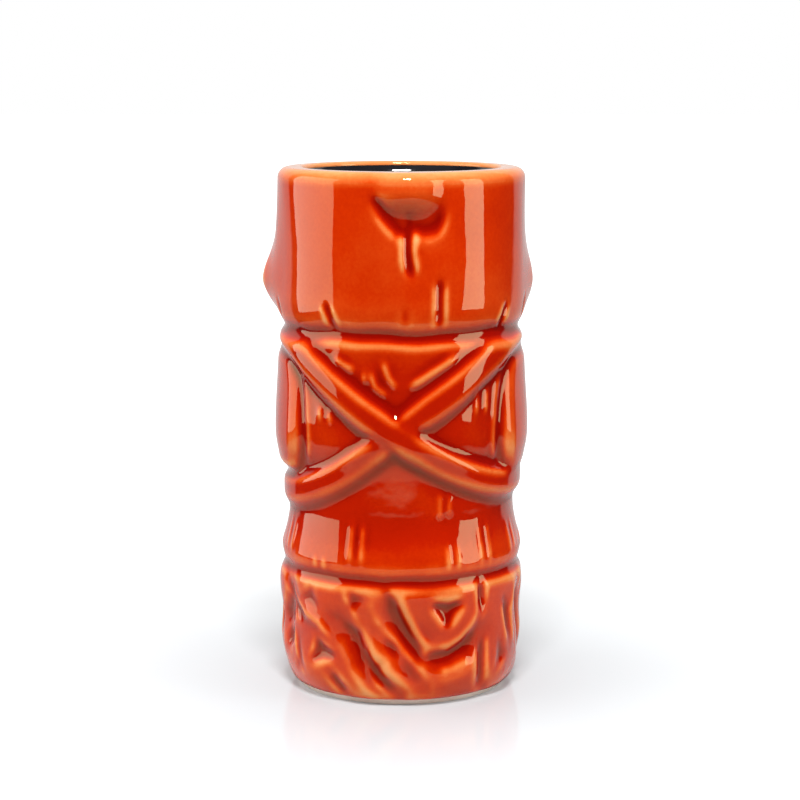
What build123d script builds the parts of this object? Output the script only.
from build123d import *
import math
import os

# A slip-cast tiki mug: carved figure on a round cup, open at the top. Millimetres, +Z up.
# The origin is the centre of the foot, on the plane that the mug rests on. The figure's plain back
# faces -Y and its carved face looks along +Y. Angles are degrees round the cup from -Y towards +X.

# Overall sizes
HEIGHT = 160.0
GLAZE = 0.5
HOOD_R = 37.7
TORSO_R = 36.3
HEM_R = 37.0
WAIST_R = 34.5
PLINTH_R = 37.2
CREASE_R = 35.7
FOOT_R = 31.7

# Levels of the tiers
PLINTH_TOP_Z = 37.4
HEM_CREASE_Z = 38.7
HEM_Z = 42.8
WAIST_Z = 55.5
BELT_Z = 69.5
HOOD_CREASE_Z = 111.8
HOOD_Z = 116.3

# Drinking space and lip
MOUTH_R = 30.0
CUP_R = 28.9
FLOOR_Z = 8.0
FLOOR_FILLET = 7.0
MOUTH_STEP_Z = 130.0
CUP_TOP_Z = 121.0
LIP_R = 3.4
LIP_EDGE = 1.1

# Glaze edges and the foot ring
GLAZE_LINE_Z = 1.8
GLAZE_JOIN_Z = HEIGHT - LIP_EDGE - 0.2
GLAZE_SPLIT_R = 31.2
FOOT_RING_R = 26.5
FOOT_RECESS = 1.4

# Crossed straps
STRAP_WIDTH = 11.4
STRAP_TILT = 33.0
STRAP_Z = 83.8
STRAP_OVER_R = 38.4
STRAP_UNDER_R = 37.8

# Arms and hands
ARM_R = 38.7
ARM_WIDTH = 39.0
ARM_LOW_Z = 69.0
ARM_TOP_Z = 104.5
HAND_ANGLE = 19.0
HAND_Z = 77.0

# Head
EAR_REACH = 41.4
EAR_WIDTH = 21.0
RELIEF_REACH = 40.6
BROW_Z = 145.0
EYE_Z = 136.5
EYE_ANGLE = 22.0
LIPS_Z = 120.8
LIP_GAP = 2.8

FRONT = 180.0


def at(angle, radius, z):
    """The point at an angle round the cup, a distance from its axis and a height."""
    turn = math.radians(angle)
    return Vector(radius * math.sin(turn), -radius * math.cos(turn), z)


def capsule(radius, start, end):
    """A rod between two points, rounded at both ends down to a small flat tip."""
    run = end - start
    bend = 0.85 * radius
    tip = radius - bend
    far = run.length
    side = make_face(
        Polyline((0, far + bend), (0, -bend), (tip, -bend))
        + RadiusArc((tip, -bend), (radius, 0), -bend)
        + Line((radius, 0), (radius, far))
        + RadiusArc((radius, far), (tip, far + bend), -bend)
        + Line((tip, far + bend), (0, far + bend))
    )
    return Plane(origin=start, z_dir=run) * revolve(Plane.XZ * side, Axis.Z)


# ---------------------------------------------------------------- the tiers


def tiers(coat):
    """Plinth, skirt, torso and hood as one turned body, `coat` under the glazed surface."""
    outline = [
        ((0, -6), 0),
        ((FOOT_R - 3.5, -6), 0),
        ((FOOT_R + 4.6, 6.4), 6),
        ((PLINTH_R, PLINTH_TOP_Z), 1.8),
        ((CREASE_R, HEM_CREASE_Z), 0.6),
        ((HEM_R + 0.2, HEM_Z), 2.6),
        ((WAIST_R - 0.2, WAIST_Z), 26),
        ((WAIST_R + 0.7, BELT_Z - 2.5), 1.5),
        ((TORSO_R, BELT_Z), 1.5),
        ((TORSO_R + 0.4, HOOD_CREASE_Z - 2.4), 1.6),
        ((CREASE_R - 0.4, HOOD_CREASE_Z), 0.6),
        ((HOOD_R, HOOD_Z), 5),
        ((HOOD_R, HEIGHT), LIP_R),
        ((0, HEIGHT), 0),
    ]
    points = [point for point, radius in outline]
    radii = [radius for point, radius in outline]
    half = make_face(FilletPolyline(*points, radius=radii, close=True))
    whole = half + mirror(half, Plane.YZ)
    inner = offset(whole, amount=-coat) if coat else whole
    right = inner & Pos(50, HEIGHT / 2) * Rectangle(100, 2 * HEIGHT)
    return revolve(Plane.XZ * right, Axis.Z)


def layer(body, low, high):
    """The part of a body between two heights."""
    return body & Pos(0, 0, (low + high) / 2) * Box(120, 120, high - low)


def carve(body, cuts, raised):
    """The body with every cut taken out and then every raised form added."""
    for tool in cuts:
        body = body - tool
    for tool in raised:
        body = body + tool
    return body


# ---------------------------------------------------------------- plinth


def chisel_cuts(coat):
    """Diagonal troughs and notches of the rough-hewn plinth, the same at the back and the front."""
    troughs = [
        (2.8, (-8, 34), (6, 16)),
        (2.4, (18, 11.2), (33, 10.6)),
        (3.0, (-27, 23), (-11, 9.5)),
        (1.7, (40, 36), (40, 29)),
        (1.6, (42, 19), (42, 8)),
        (2.2, (17, 29.6), (27, 29.6)),
        (2.4, (-47, 14), (-35, 15)),
        (2.4, (-66, 30), (-70, 17)),
        (2.6, (72, 31), (78, 12)),
        (2.6, (97, 31), (90, 15)),
    ]
    cuts = []
    for turn in (0, FRONT):
        for radius, (a0, z0), (a1, z1) in troughs:
            reach = PLINTH_R + 0.32 * radius
            tool = capsule(radius + coat, at(a0 + turn, reach, z0), at(a1 + turn, reach, z1))
            cuts.append(tool)
    return cuts


def plinth(body, coat):
    """The rough-hewn plinth that the figure stands on."""
    return carve(layer(body, 0, HEM_CREASE_Z), chisel_cuts(coat), [])


# ---------------------------------------------------------------- skirt and torso


def strap(radius, tilt, coat):
    """A flat band that crosses the body at a tilt."""
    slab = Pos(0, 0, STRAP_Z) * Rot(0, tilt, 0) * Box(160, 160, STRAP_WIDTH - 2 * coat)
    low = BELT_Z - 13
    high = HOOD_CREASE_Z - 1.6 - coat
    tube = Pos(0, 0, (low + high) / 2) * Cylinder(radius - coat, high - low)
    return tube & slab


def arm(side, coat):
    """An upper arm that hangs beside the torso."""
    height = ARM_TOP_Z - ARM_LOW_Z - 2 * coat
    block = Pos(side * 40, 0, (ARM_TOP_Z + ARM_LOW_Z) / 2) * Box(30, ARM_WIDTH - 2 * coat, height)
    block = fillet(block.edges().filter_by(Axis.X), 7)
    return block & Cylinder(ARM_R - coat, 2 * HEIGHT)


def hand(side, coat):
    """A forearm that comes forward to a loose fist on the belly."""
    reach = TORSO_R - 2.6
    elbow = at(FRONT - side * 58, reach, HAND_Z - 1.5)
    wrist = at(FRONT - side * 30, reach, HAND_Z)
    knuckle = at(FRONT - side * (HAND_ANGLE - 7), TORSO_R - 3.4, HAND_Z + 0.4)
    back = at(FRONT - side * (HAND_ANGLE + 6), TORSO_R - 3.2, HAND_Z + 0.2)
    return [capsule(5.2 - coat, elbow, wrist), capsule(6.4 - coat, back, knuckle)]


def pleats(coat):
    """Long cuts up from the hem of the skirt, all round."""
    cuts = []
    for turn, high in (
        (-68, 55), (-42, 47), (-22, 57), (25, 51), (44, 57), (68, 54), (90, 48), (113, 57),
        (135, 49), (157, 58), (180, 50), (203, 58), (226, 49), (248, 56), (270, 48),
    ):
        cuts.append(capsule(1.5 + coat, at(turn, HEM_R + 0.4, HEM_Z - 1), at(turn, WAIST_R + 1.8, high)))
    return cuts


def figure(body, coat):
    """Skirt and torso with the straps, arms and hands."""
    trunk = layer(body, HEM_CREASE_Z, HOOD_CREASE_Z)
    raised = [strap(STRAP_UNDER_R, -STRAP_TILT, coat), strap(STRAP_OVER_R, STRAP_TILT, coat)]
    for side in (1, -1):
        raised += [arm(side, coat), *hand(side, coat)]
    return carve(trunk, pleats(coat), raised)


# ---------------------------------------------------------------- head


def ear(side, coat):
    """A long flat ear at the side of the head, widest near its lobe."""
    profile = FilletPolyline(
        (30, 148),
        (HOOD_R + 0.4, 143),
        (EAR_REACH + 0.25, 124.6),
        (HOOD_R, 114.4),
        (30, 113),
        radius=[0.0, 6.0, 4.6, 2.0, 0.0],
        close=True,
    )
    face = offset(make_face(profile), amount=-coat) if coat else make_face(profile)
    solid = extrude(Plane.XZ * face, EAR_WIDTH / 2 - coat, both=True)
    return solid if side > 0 else mirror(solid, Plane.YZ)


def knot(coat):
    """The small tied knot at the back of the head, under the lip."""
    radius = 3.6 - coat
    return capsule(radius, at(-7, RELIEF_REACH - 3.6, 153), at(9, RELIEF_REACH - 3.6, 153))


def brow(side, coat):
    """Half of a heavy level brow that meets over the nose."""
    inner = at(FRONT - side * 5, RELIEF_REACH - 4.6, BROW_Z)
    outer = at(FRONT - side * 38, RELIEF_REACH - 5.4, BROW_Z)
    return capsule(4.0 - coat, inner, outer)


def nose(coat):
    """A broad straight nose that widens to its nostrils."""
    bridge = capsule(3.3 - coat, at(FRONT, RELIEF_REACH - 3.3, 143.6), at(FRONT, RELIEF_REACH - 3.3, 130.4))
    base = capsule(3.8 - coat, at(FRONT - 6, RELIEF_REACH - 4.6, 128), at(FRONT + 6, RELIEF_REACH - 4.6, 128))
    return [bridge, base]


def eye(side, coat):
    """A lowered almond lid in its socket."""
    inner = at(FRONT - side * (EYE_ANGLE - 6), 35.9, EYE_Z)
    outer = at(FRONT - side * (EYE_ANGLE + 8), 35.6, EYE_Z - 0.6)
    return capsule(2.7 - coat, inner, outer)


def socket(side, coat):
    """The hollow under the brow that the eye sits in."""
    inner = at(FRONT - side * (EYE_ANGLE - 7), HOOD_R + 2.2, EYE_Z)
    outer = at(FRONT - side * (EYE_ANGLE + 10), HOOD_R + 1.8, EYE_Z - 0.6)
    return capsule(4.4 + coat, inner, outer)


def lip(level, coat):
    """One of two wide calm lips."""
    return capsule(2.5 - coat, at(FRONT - 12, HOOD_R - 0.4, level), at(FRONT + 12, HOOD_R - 0.4, level))


def hood_cuts(coat):
    """Folds in the back of the hood."""
    return [
        capsule(1.9 + coat, at(3, HOOD_R + 0.6, 143), at(3.6, HOOD_R + 0.6, 131)),
        capsule(1.5 + coat, at(17.5, HOOD_R + 0.5, 127), at(17.5, HOOD_R + 0.5, 117)),
    ]


def head(body, coat):
    """The hood with its ears, knot and carved face."""
    block = layer(body, HOOD_CREASE_Z, HEIGHT)
    cuts = [*hood_cuts(coat), socket(1, coat), socket(-1, coat)]
    raised = [knot(coat), *nose(coat), lip(LIPS_Z + LIP_GAP, coat), lip(LIPS_Z - LIP_GAP, coat)]
    for side in (1, -1):
        raised += [ear(side, coat), brow(side, coat), eye(side, coat)]
    return carve(block, cuts, raised)


# ---------------------------------------------------------------- whole forms


def carved_form(coat):
    """The whole outside of the mug as a filled body, `coat` under the glazed surface."""
    body = tiers(coat)
    return plinth(body, coat) + figure(body, coat) + head(body, coat)


def drinking_space(coat):
    """What is hollow inside, `coat` bigger than the glazed space, opening over the rounded lip."""
    mouth = MOUTH_R + coat
    cup = CUP_R + coat
    floor = FLOOR_Z - coat
    corner = FLOOR_FILLET + coat
    edge_z = HEIGHT - LIP_EDGE
    edge_r = MOUTH_R + LIP_EDGE
    walls = Polyline((0, floor), (cup - corner, floor))
    walls += RadiusArc((cup - corner, floor), (cup, floor + corner), -corner)
    walls += Polyline((cup, floor + corner), (cup, CUP_TOP_Z), (mouth, MOUTH_STEP_Z), (mouth, edge_z))
    walls += RadiusArc((mouth, edge_z), (edge_r, HEIGHT - coat), LIP_EDGE - coat)
    walls += Polyline((edge_r, HEIGHT - coat), (edge_r, HEIGHT + 8), (0, HEIGHT + 8), (0, floor))
    return revolve(Plane.XZ * make_face(walls), Axis.Z)


def foot_recess():
    """The shallow hollow under the mug that leaves a ring to stand on."""
    disc = Cylinder(FOOT_RING_R, FOOT_RECESS, align=(Align.CENTER, Align.CENTER, Align.MIN))
    return chamfer(disc.edges().sort_by(Axis.Z)[-1], 0.9)


def clay_body():
    """The fired casting under the glaze."""
    return carved_form(GLAZE) - drinking_space(GLAZE) - foot_recess()


def glaze_coats(clay):
    """The orange outer coat and the black inner coat, split just inside the lip."""
    glazed = carved_form(0) - drinking_space(0)
    foot = Pos(0, 0, GLAZE_LINE_Z / 2) * Box(100, 100, GLAZE_LINE_Z)
    coat = glazed - clay - foot
    span = GLAZE_JOIN_Z - GLAZE_LINE_Z
    core = Pos(0, 0, GLAZE_LINE_Z + span / 2) * Cylinder(GLAZE_SPLIT_R, span)
    return coat - core, coat & core


def write(shape, node):
    """Write one sub-part to its own file."""
    export_step(shape, "parts/" + node + ".step")


os.makedirs("parts", exist_ok=True)
clay = clay_body()
outer, liner = glaze_coats(clay)
write(clay, "clay_body")
write(outer, "outer_glaze")
write(liner, "liner_glaze")
